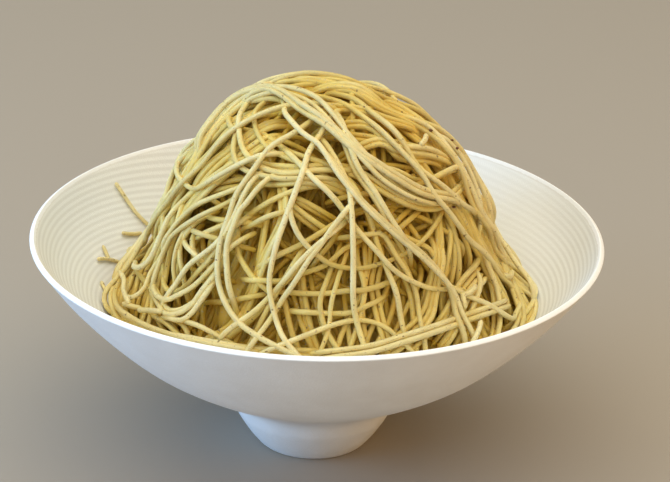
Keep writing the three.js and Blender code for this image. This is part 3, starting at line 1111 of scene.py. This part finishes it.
def inside_the_bowl(points):
    """Moves what would go through the bowl's wall to just inside it."""
    limit = np.interp(points[:, 2], wall_inside[:, 1], wall_inside[:, 0]) - WALL_ROOM
    limit = np.where(points[:, 2] > RIM_HEIGHT, UNLIMITED, limit)
    scale = np.minimum(1, limit / np.maximum(np.hypot(points[:, 0], points[:, 1]), TINY))
    return points * np.stack([scale, scale, np.ones_like(scale)], axis=-1)


def strand_family(name, strands):
    """The pieces of one family of strands, with a new piece whenever one is full."""
    pieces, tubes, triangles = [], [], 0
    for directions, heights in strands:
        points = inside_the_bowl(places(directions, heights))
        rings, shares = tube_rings(points, STRAND_WIDTH * dice.uniform(*WIDTH_RANGE))
        depth = np.interp(shares, np.linspace(0, 1, len(heights)), heights)
        triangles += len(rings) * TUBE_SIDES * 2
        if triangles > MOST_TRIANGLES:
            pieces.append(tubes_mesh(f"{name}_{len(pieces) + 1}", tubes))
            tubes, triangles = [], len(rings) * TUBE_SIDES * 2
        tubes.append((rings, depth, dice.uniform(0, 1)))
    pieces.append(tubes_mesh(f"{name}_{len(pieces) + 1}", tubes))
    return pieces


families = {
    "tangle": tangle,
    "bundles": bundles,
    "back_strands": back,
    "front_strands": front,
    "loose_bits": bits,
}
strand_pieces = []
for name, strands in families.items():
    strand_pieces += strand_family(name, strands)

# %% [markdown]
# A few thin crumbs of strand stick to the bowl's wall at the left, above the nest. The line of sight
# through a pixel leaves the bowl's inside where it meets the wall, and the crumb lies there, half its
# height off it.

# %% Bits on the wall
WALL_BEHIND = 700
WALL_BIT_SAMPLES = 12
WALL_BIT_WIDTH = 0.75 * STRAND_WIDTH
WALL_BIT_OFF = 0.4 * STRAND_WIDTH
WALL_BIT_UP = 0.3 * STRAND_WIDTH
WALL_BITS = [
    [(115, 185), (125, 200), (134, 213), (146, 225)],
    [(122, 234), (130, 235), (139, 234)],
    [(102, 248), (107, 260)],
    [(97, 260), (106, 260), (117, 263)],
    [(100, 284), (104, 292)],
]


def wall_seen(x, y):
    """The place on the inside of the bowl's wall that shows at a pixel of the photograph."""
    points = along_sight(x, y, WALL_BEHIND)
    limit = np.interp(points[:, 2], wall_inside[:, 1], wall_inside[:, 0])
    within = (np.hypot(points[:, 0], points[:, 1]) < limit) & (points[:, 2] < RIM_HEIGHT)
    return points[np.flatnonzero(within)[-1]]


def bits_on_the_wall(table):
    """Tubes that lie on the wall along lines of pixels."""
    tubes = []
    for pixels in table:
        line = smooth_line([wall_seen(*pixel) for pixel in pixels], WALL_BIT_SAMPLES)
        flat = np.hypot(line[:, 0], line[:, 1])
        line[:, :2] *= ((flat - WALL_BIT_OFF) / flat)[:, None]
        line[:, 2] += WALL_BIT_UP
        rings, _ = tube_rings(line, WALL_BIT_WIDTH)
        tubes.append((rings, np.zeros(len(rings)), dice.uniform(0, 1)))
    return tubes


strand_pieces.append(tubes_mesh("wall_bits", bits_on_the_wall(WALL_BITS)))

# %% [markdown]
# Here and there a bit of dark chestnut skin got through the sieve. Each is a speck as short as it is wide,
# half sunk in a strand. It is placed by sight: of the strands that the line of sight through its pixel
# passes, the nearest one to the eye carries it, so it can't float in front of the nest.

# %% Bits of skin
SKIN_WIDTH = 0.75
SKIN_LENGTH = 0.3
SKIN_RAISED = 0.6
SKIN_POINTS = 4
SKIN_TONE = 0.5
SKIN_BITS = [(431, 130), (452, 140), (457, 148), (454, 207), (461, 301)]


def specks(pixels, strands):
    """Small blunt bits, each half sunk in the strand that shows at its pixel."""
    middles = np.concatenate([places(directions, heights) for directions, heights in strands])
    from_eye = middles - np.array(eye)
    tubes = []
    for pixel in pixels:
        ray = np.array(through_pixel(*pixel))
        along = from_eye @ ray
        aside = np.linalg.norm(from_eye - along[:, None] * ray, axis=1)
        touched = aside < max(STRAND_WIDTH / 2, aside.min() + SKIN_LENGTH)
        print("bit of skin at", pixel, "is", round(float(aside.min()), 2), "mm from the middle of a strand")
        middle = np.array(eye) + (along[touched].min() - SKIN_RAISED) * ray
        line = middle + np.linspace(-0.5, 0.5, SKIN_POINTS)[:, None] * SKIN_LENGTH * np.array(picture_right)
        rings, _ = tube_rings(line, SKIN_WIDTH)
        tubes.append((rings, np.zeros(len(rings)), SKIN_TONE))
    return tubes


skin_bits = tubes_mesh("skin_bits", specks(SKIN_BITS, bundles + back + front))

# %% [markdown]
# The core is the paste that lies too deep to tell its strands apart. It closes the nest, so that no
# daylight shows through. It starts as a ball. Its upper points are moved to the height worked out above,
# and its lower ones to the inside of the bowl's wall.

# %% The core's underside
CORE_CLEARANCE = 0.4
CORE_SET_BACK = 6
CORE_FLOOR = 0.7
UNDERSIDE_SAMPLES = 100
UNDERSIDE_STRIDE = 8

skirt_start = int(np.argmax(wall_inside[:, 0] > SKIRT_RADIUS - CORE_SET_BACK))
core_bottom = wall_inside[:skirt_start + 1] + CORE_CLEARANCE * wall_inwards[:skirt_start + 1]
core_bottom = np.concatenate([[[0, WALL + CORE_FLOOR]], core_bottom[::UNDERSIDE_STRIDE]])
core_bottom = smooth_line(core_bottom, UNDERSIDE_SAMPLES)
print("the underside reaches up the wall to", core_bottom[-1].round(1), "mm")

# %% Core of the nest
CORE_SEGMENTS = 300
CORE_RINGS = 170
CORE_EDGE = math.radians(97)


def mesh_from(shape, name):
    """A mesh made from a bmesh, which is freed."""
    mesh = bpy.data.meshes.new(name)
    shape.to_mesh(mesh)
    shape.free()
    return mesh


shape = bmesh.new()
bmesh.ops.create_uvsphere(shape, u_segments=CORE_SEGMENTS, v_segments=CORE_RINGS, radius=1)
core_mesh = mesh_from(shape, "nest_core")
ball = np.empty(len(core_mesh.vertices) * 3)
core_mesh.vertices.foreach_get("co", ball)
ball = normalised(ball.reshape(-1, 3))
upper = inside_the_bowl(places(ball, looked_up(core_height, ball)))
edge_share = (math.pi - polar_of(ball)) / (math.pi - CORE_EDGE)
rows = np.clip(edge_share * (UNDERSIDE_SAMPLES - 1), 0, UNDERSIDE_SAMPLES - 1)
azimuths = np.arctan2(ball[:, 1], ball[:, 0])
radius, level = [np.interp(rows, np.arange(UNDERSIDE_SAMPLES), column) for column in core_bottom.T]
lower = np.stack([radius * np.cos(azimuths), radius * np.sin(azimuths), level], axis=-1)
is_upper = (polar_of(ball) < CORE_EDGE)[:, None]
core_mesh.vertices.foreach_set("co", (np.where(is_upper, upper, lower) * MM).ravel())
core_mesh.update()
core_mesh.shade_smooth()
nest_core = new_object("nest_core", core_mesh)
print("core corners:", len(core_mesh.vertices))

# %% [markdown]
# The bowl is one sheet of pressed plant pulp, 1.5 mm thick. It comes from a round mould, so its profile is
# spun once round the axis. The profile goes under the foot, up the outside, over the soft lip and down the
# inside.

# %% The bowl's profile
LIP_POINTS = 9
LIP_SQUARENESS = 0.55
LIP_HEIGHT = 0.35
FOOT_UNDERSIDE = [(0, 0), (5, 0), (10, 0), (FOOT_RADIUS - 1.8, 0), (FOOT_RADIUS - 0.6, 0.15)]
FOOT_FLOOR = [(10, WALL), (5, WALL), (0, WALL)]

lip_middle = (wall_outside[-1] + wall_inside[-1]) / 2
lip_across = (wall_outside[-1] - wall_inside[-1]) / 2
lip_turns = np.linspace(0, math.pi, LIP_POINTS + 2)[1:-1, None]
lip_share = squared_off(np.cos(lip_turns), LIP_SQUARENESS)
lip_rise = squared_off(np.sin(lip_turns), LIP_SQUARENESS) * LIP_HEIGHT
lip = lip_middle + lip_share * lip_across + lip_rise * wall_along[-1]
bowl_profile = np.concatenate([FOOT_UNDERSIDE, wall_outside, lip, wall_inside[::-1], FOOT_FLOOR])
first_inside = len(FOOT_UNDERSIDE) + len(wall_outside) + LIP_POINTS // 2
profile_lengths = lengths_along(bowl_profile)
below_lip = profile_lengths - profile_lengths[first_inside]
print("the profile has", len(bowl_profile), "points and is", round(profile_lengths[-1]), "mm long")

# %% [markdown]
# Two numbers stay with each corner of the bowl for its finish: whether it is inside, and how far it is
# below the lip along the profile. The spin copies them round with the corners.

# %% Bowl
BOWL_STEPS = 180
MERGE_DISTANCE = 1e-6

shape = bmesh.new()
inside_layer = shape.verts.layers.float.new("inside")
below_lip_layer = shape.verts.layers.float.new("below_lip")
profile_corners = []
for index, (radius, level) in enumerate(bowl_profile):
    corner = shape.verts.new((radius * MM, 0, level * MM))
    corner[inside_layer] = float(index > first_inside)
    corner[below_lip_layer] = below_lip[index]
    profile_corners.append(corner)
profile_edges = [shape.edges.new(pair) for pair in zip(profile_corners, profile_corners[1:])]
bmesh.ops.spin(
    shape,
    geom=profile_corners + profile_edges,
    cent=(0, 0, 0),
    axis=(0, 0, 1),
    dvec=(0, 0, 0),
    angle=2 * math.pi,
    steps=BOWL_STEPS,
    use_merge=True,
    use_duplicate=False,
)
bmesh.ops.remove_doubles(shape, verts=shape.verts, dist=MERGE_DISTANCE)
bmesh.ops.recalc_face_normals(shape, faces=shape.faces)
bowl_mesh = mesh_from(shape, "footed_bowl")
bowl_mesh.shade_smooth()
bowl = new_object("footed_bowl", bowl_mesh)
print("bowl faces:", len(bowl_mesh.polygons))

# %% [markdown]
# A finish is a tree of nodes that ends in one shader. These helpers keep the trees below short. A value
# that is the same all over a surface is set on the shader's own socket.

# %% Material helpers
def set_values(node, values):
    """Sets the values of a node's sockets, by their names."""
    for socket, value in values.items():
        node.inputs[socket].default_value = value


def new_material(name, values):
    """A material with its node tree and its shader, whose socket values are set by name."""
    material = bpy.data.materials.new(name)
    material.use_nodes = True
    tree = material.node_tree
    tree.nodes.clear()
    output = tree.nodes.new("ShaderNodeOutputMaterial")
    shader = tree.nodes.new("ShaderNodeBsdfPrincipled")
    set_values(shader, values)
    tree.links.new(shader.outputs["BSDF"], output.inputs["Surface"])
    return material, tree, shader


def add_node(tree, kind, values, **links):
    """A node with its socket values set and its inputs linked, by socket name."""
    node = tree.nodes.new(kind)
    set_values(node, values)
    for socket, source in links.items():
        tree.links.new(source, node.inputs[socket])
    return node


def noise(tree, place, values):
    """A noise over the piece, as a number between 0 and 1."""
    return add_node(tree, "ShaderNodeTexNoise", values, Vector=place).outputs["Fac"]


def attribute_of(tree, name):
    """The number that the mesh keeps under a name."""
    node = tree.nodes.new("ShaderNodeAttribute")
    node.attribute_name = name
    return node.outputs["Fac"]


# %% Colour helpers
def colour_ramp(tree, source, stops):
    """A ramp from a number to colours."""
    ramp = tree.nodes.new("ShaderNodeValToRGB")
    elements = ramp.color_ramp.elements
    while len(elements) < len(stops):
        elements.new(0.5)
    for element, (place, colour) in zip(elements, stops):
        element.position = place
        element.color = (*colour, 1)
    tree.links.new(source, ramp.inputs["Fac"])
    return ramp.outputs["Color"]


def mixed(tree, share, first, second, blend="MIX"):
    """A mix of two colours by a share, which may be a number or a socket."""
    node = tree.nodes.new("ShaderNodeMix")
    node.data_type = "RGBA"
    node.blend_type = blend
    if isinstance(share, float):
        node.inputs["Factor"].default_value = share
    else:
        tree.links.new(share, node.inputs["Factor"])
    tree.links.new(first, node.inputs["A"])
    if isinstance(second, tuple):
        node.inputs["B"].default_value = (*second, 1)
    else:
        tree.links.new(second, node.inputs["B"])
    return node.outputs["Result"]


# %% [markdown]
# The paste is satin and lets a little light in, so its shader scatters light below the surface. The simpler
# of the shader's ways to scatter is used, because it bears with strands that run into each other. The
# colour goes from a deep gold low in the heap to a pale yellow on the outside: the deep gold is painted
# shade, which darkens what lies deep between the strands. Each strand has a tone of its own, soft patches
# vary it, and fine dark flecks are crumbs of chestnut skin.

# %% Paste
DEEPEST_SHADE = -5.5
TONES = [(0, (0.90, 0.87, 0.80)), (0.5, (1, 1, 1)), (1, (1.04, 1.04, 1.08))]
PATCHES = [(0.35, (0.93, 0.9, 0.84)), (0.65, (1.03, 1.03, 1.03))]
FLECKS = [(1500, 0.67, (0.52, 0.40, 0.20)), (650, 0.73, (0.24, 0.15, 0.06))]
FLECK_EDGE = 0.04
PASTE_SHADER = {
    "Roughness": 0.55,
    "Specular IOR Level": 0.35,
    "Subsurface Weight": 0.5,
    "Subsurface Radius": (0.002, 0.0013, 0.0004),
    "Subsurface Scale": 0.4,
}


def paste_material(name, colours, grain_scale):
    """Chestnut paste, darkened by its depth with painted shade, from the deepest to the outermost."""
    material, tree, shader = new_material(name, PASTE_SHADER)
    shader.subsurface_method = "BURLEY"
    place = tree.nodes.new("ShaderNodeTexCoord").outputs["Object"]
    depth_range = {"From Min": DEEPEST_SHADE, "From Max": 0}
    # Painted shade: the paste's colour darkens to deep gold with its depth in the heap.
    depth_shade = add_node(tree, "ShaderNodeMapRange", depth_range, Value=attribute_of(tree, "depth"))
    stops = list(zip(np.linspace(0, 1, len(colours)), colours))
    base = colour_ramp(tree, depth_shade.outputs["Result"], stops)
    base = mixed(tree, 1.0, base, colour_ramp(tree, attribute_of(tree, "tone"), TONES), "MULTIPLY")
    mottle = noise(tree, place, {"Scale": 260, "Detail": 3})
    base = mixed(tree, 1.0, base, colour_ramp(tree, mottle, PATCHES), "MULTIPLY")
    for scale, threshold, colour in FLECKS:
        flecks = noise(tree, place, {"Scale": scale, "Detail": 1})
        dark = colour_ramp(tree, flecks, [(threshold, (0, 0, 0)), (threshold + FLECK_EDGE, (1, 1, 1))])
        base = mixed(tree, dark, base, colour)
    tree.links.new(base, shader.inputs["Base Color"])
    grain = noise(tree, place, {"Scale": grain_scale, "Detail": 4, "Roughness": 0.6})
    bump = add_node(tree, "ShaderNodeBump", {"Strength": 0.25, "Distance": 0.0002}, Height=grain)
    tree.links.new(bump.outputs["Normal"], shader.inputs["Normal"])
    return material


# Colours from the deepest to the outermost: the deep ones are darker as painted shade.
strand_shade_colours = [(0.58, 0.37, 0.04), (0.70, 0.545, 0.16), (0.75, 0.65, 0.335)]
core_shade_colours = [(0.58, 0.33, 0.02), (0.70, 0.47, 0.07)]
strand_paste = paste_material("chestnut_strands", strand_shade_colours, 2200)
core_paste = paste_material("chestnut_core", core_shade_colours, 1200)
for piece in strand_pieces:
    piece.data.materials.append(strand_paste)
core_mesh.materials.append(core_paste)
print("paste materials:", strand_paste.name, core_paste.name)

# %% Skin
SKIN_SHADER = {"Base Color": (0.16, 0.06, 0.02, 1), "Roughness": 0.5}
skin_material, _, _ = new_material("chestnut_skin", SKIN_SHADER)
skin_bits.data.materials.append(skin_material)
print("skin material:", skin_material.name)

# %% [markdown]
# The mould's wire mesh has left its print inside the bowl: rings of short slanted dashes. The rings are a
# wave of the distance below the lip, and the dashes a wave of the angle round the bowl. The rings lie closer
# together at the sides of the bowl than in front. At the back on the right the print fades towards its pale
# colour: painted light on the wall there.

# %% Print of the mould
RINGS_PER_MM = 0.58
RINGS_SPREAD = 0.24
RING_DRIFT = 5
RING_SHARPNESS = 0.7
WIRES_ROUND = 655
WIRE_SLANT = 2.2
WIRE_SHARPNESS = 0.6
DASH_DEPTH = 0.7
PAINTED_LIGHT_AT = math.radians(50)
PAINTED_LIGHT_RANGE = {"From Min": 0.7, "From Max": 0.95, "To Min": 1.0, "To Max": 0.35}


def calculated(tree, operation, *terms):
    """The result of a sum on numbers and sockets."""
    node = tree.nodes.new("ShaderNodeMath")
    node.operation = operation
    for socket, term in zip(node.inputs, terms):
        if isinstance(term, (int, float)):
            socket.default_value = term
        else:
            tree.links.new(term, socket)
    return node.outputs["Value"]


def half_wave(tree, angle, sharpness):
    """A wave between 0 and 1 of an angle, its rises made sharper."""
    wave = calculated(tree, "MULTIPLY_ADD", calculated(tree, "SINE", angle), sharpness, 0.5)
    return calculated(tree, "MINIMUM", calculated(tree, "MAXIMUM", wave, 0.0), 1.0)


def mesh_print(tree, place, below_lip):
    """The print of the mould's wire mesh: rings of short slanted dashes, faded at the back right as painted
    light.
    """
    axes = add_node(tree, "ShaderNodeSeparateXYZ", {}, Vector=place).outputs
    turn = calculated(tree, "ARCTAN2", axes["Y"], axes["X"])
    slant = calculated(tree, "MULTIPLY", below_lip, WIRE_SLANT)
    wires = half_wave(tree, calculated(tree, "MULTIPLY_ADD", turn, WIRES_ROUND, slant), WIRE_SHARPNESS)
    sideways = calculated(tree, "COSINE", turn)
    squared = calculated(tree, "MULTIPLY", sideways, sideways)
    density = calculated(tree, "MULTIPLY_ADD", squared, RINGS_SPREAD, RINGS_PER_MM - RINGS_SPREAD)
    drift = calculated(tree, "MULTIPLY", sideways, -RING_DRIFT)
    count = calculated(tree, "MULTIPLY_ADD", below_lip, density, drift)
    rings = half_wave(tree, calculated(tree, "MULTIPLY", count, 2 * math.pi), RING_SHARPNESS)
    gaps = calculated(tree, "MULTIPLY_ADD", wires, DASH_DEPTH, 1 - DASH_DEPTH)
    dashes = calculated(tree, "MULTIPLY", rings, gaps)
    # Painted light: the print fades towards its pale colour at the back on the right.
    from_painted_light = calculated(tree, "COSINE", calculated(tree, "SUBTRACT", turn, PAINTED_LIGHT_AT))
    kept = add_node(tree, "ShaderNodeMapRange", PAINTED_LIGHT_RANGE, Value=from_painted_light).outputs["Result"]
    return calculated(tree, "MULTIPLY_ADD", dashes, kept, calculated(tree, "SUBTRACT", 1.0, kept))


# %% [markdown]
# The pulp itself is matt and nearly white, with the fine grain of its fibres. A paler band with a ragged
# edge runs round the lip: a painted highlight, where the lip catches the light from above. A faint dark line
# just below it, where the print begins, is painted shade of a small groove.

# %% Pulp
GROOVE_SHADE_AT = 1.95
GROOVE_SHADE_WIDTH = 0.2
GROOVE_SHADE_COLOUR = (0.80, 0.79, 0.76)
LIP_HIGHLIGHT_MIDDLE = 0.35
LIP_HIGHLIGHT_REACH = 1.35
LIP_HIGHLIGHT_COLOUR = (0.92, 0.92, 0.92)
LIP_RAGGEDNESS = 700
NOISE_MEAN = 0.5
OUTSIDE_COLOURS = [(0.3, (0.82, 0.81, 0.80)), (0.7, (0.87, 0.87, 0.87))]
PRINT_COLOURS = [(0, (0.74, 0.735, 0.705)), (1, (0.885, 0.89, 0.87))]
PULP_SHADER = {"Roughness": 0.9, "Specular IOR Level": 0.2}


def pulp_material():
    """Moulded pulp: matt white, grainy, with the print of the mould's wire mesh inside, and painted light
    and shade at the lip.
    """
    material, tree, shader = new_material("moulded_pulp", PULP_SHADER)
    place = tree.nodes.new("ShaderNodeTexCoord").outputs["Object"]
    inside = attribute_of(tree, "inside")
    below_lip = attribute_of(tree, "below_lip")
    outside_colour = colour_ramp(tree, noise(tree, place, {"Scale": 90, "Detail": 4}), OUTSIDE_COLOURS)
    printed = calculated(tree, "MULTIPLY", mesh_print(tree, place, below_lip), inside)
    inside_colour = colour_ramp(tree, printed, PRINT_COLOURS)
    # Painted shade: a faint dark line just below the lip stands for the shade of a small groove.
    groove_shade = calculated(tree, "COMPARE", below_lip, GROOVE_SHADE_AT, GROOVE_SHADE_WIDTH)
    inside_colour = mixed(tree, groove_shade, inside_colour, GROOVE_SHADE_COLOUR)
    colour = mixed(tree, inside, outside_colour, inside_colour)
    # Painted highlight: a paler band with a ragged edge round the lip, where it catches the light from
    # above.
    ragged = calculated(tree, "ADD", below_lip, noise(tree, place, {"Scale": LIP_RAGGEDNESS, "Detail": 3}))
    lip_highlight = calculated(tree, "COMPARE", ragged, LIP_HIGHLIGHT_MIDDLE + NOISE_MEAN, LIP_HIGHLIGHT_REACH)
    colour = mixed(tree, lip_highlight, colour, LIP_HIGHLIGHT_COLOUR)
    tree.links.new(colour, shader.inputs["Base Color"])
    fibres = noise(tree, place, {"Scale": 1400, "Detail": 5, "Roughness": 0.65})
    grain = add_node(tree, "ShaderNodeBump", {"Strength": 0.35, "Distance": 0.0003}, Height=fibres)
    relief = {"Strength": 0.12, "Distance": 0.0002}
    print_bump = add_node(tree, "ShaderNodeBump", relief, Height=printed, Normal=grain.outputs["Normal"])
    tree.links.new(print_bump.outputs["Normal"], shader.inputs["Normal"])
    return material


bowl_mesh.materials.append(pulp_material())
print("pulp material on", bowl.name)

# %% [markdown]
# The dessert stands on a plain pale floor in soft light. Two wide lamps, overhead and in front, light the
# food evenly. A low cool one at the left, like a window, and a weak warm one at the right colour the sides
# of the bowl.

# %% Floor
FLOOR_HALF = 4
FLOOR_SHADER = {"Base Color": (0.37, 0.32, 0.265, 1), "Roughness": 0.8}

shape = bmesh.new()
bmesh.ops.create_grid(shape, x_segments=1, y_segments=1, size=FLOOR_HALF)
floor = new_object("floor", mesh_from(shape, "floor"))
floor_material, _, _ = new_material("pale_floor", FLOOR_SHADER)
floor.data.materials.append(floor_material)
print("floor of", 2 * FLOOR_HALF, "m across")

# %% Light
LIT_PLACE = Vector((0, 0, 0.05))


def add_lamp(name, place, size, power, colour):
    """A square area lamp that shines at the dessert."""
    lamp = new_object(name, bpy.data.lights.new(name, "AREA"))
    lamp.data.size = size
    lamp.data.energy = power
    lamp.data.color = colour
    lamp.location = place
    lamp.rotation_euler = (LIT_PLACE - Vector(place)).to_track_quat("-Z", "Y").to_euler()


add_lamp("window_lamp", (-1.2, -0.3, 0.35), 1.0, 18.0, (0.37, 0.63, 1.0))
add_lamp("warm_lamp", (1.2, -0.3, 0.4), 1.0, 5.0, (1.0, 0.53, 0.10))
add_lamp("overhead_lamp", (0, 0.1, 1.4), 2.2, 28, (1.0, 0.98, 0.86))
add_lamp("front_lamp", (0, -1.5, 1.1), 1.5, 11.5, (1.0, 0.96, 0.91))
world = bpy.data.worlds.new("pale_room")
world.use_nodes = True
set_values(world.node_tree.nodes["Background"], {"Color": (1.0, 1.0, 0.75, 1), "Strength": 0.08})
bpy.context.scene.world = world
bpy.context.scene.view_settings.view_transform = "Standard"

# %% [markdown]
# Every piece rides on the frame's one body. The bowl stands for the frame's bowl, and the core with its
# strands stands for the frame's nest.

# %% Ride and replace
for piece in [nest_core, skin_bits, *strand_pieces]:
    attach(piece, "root")
    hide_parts("strand_nest")
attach(bowl, "root")
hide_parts("pulp_bowl")
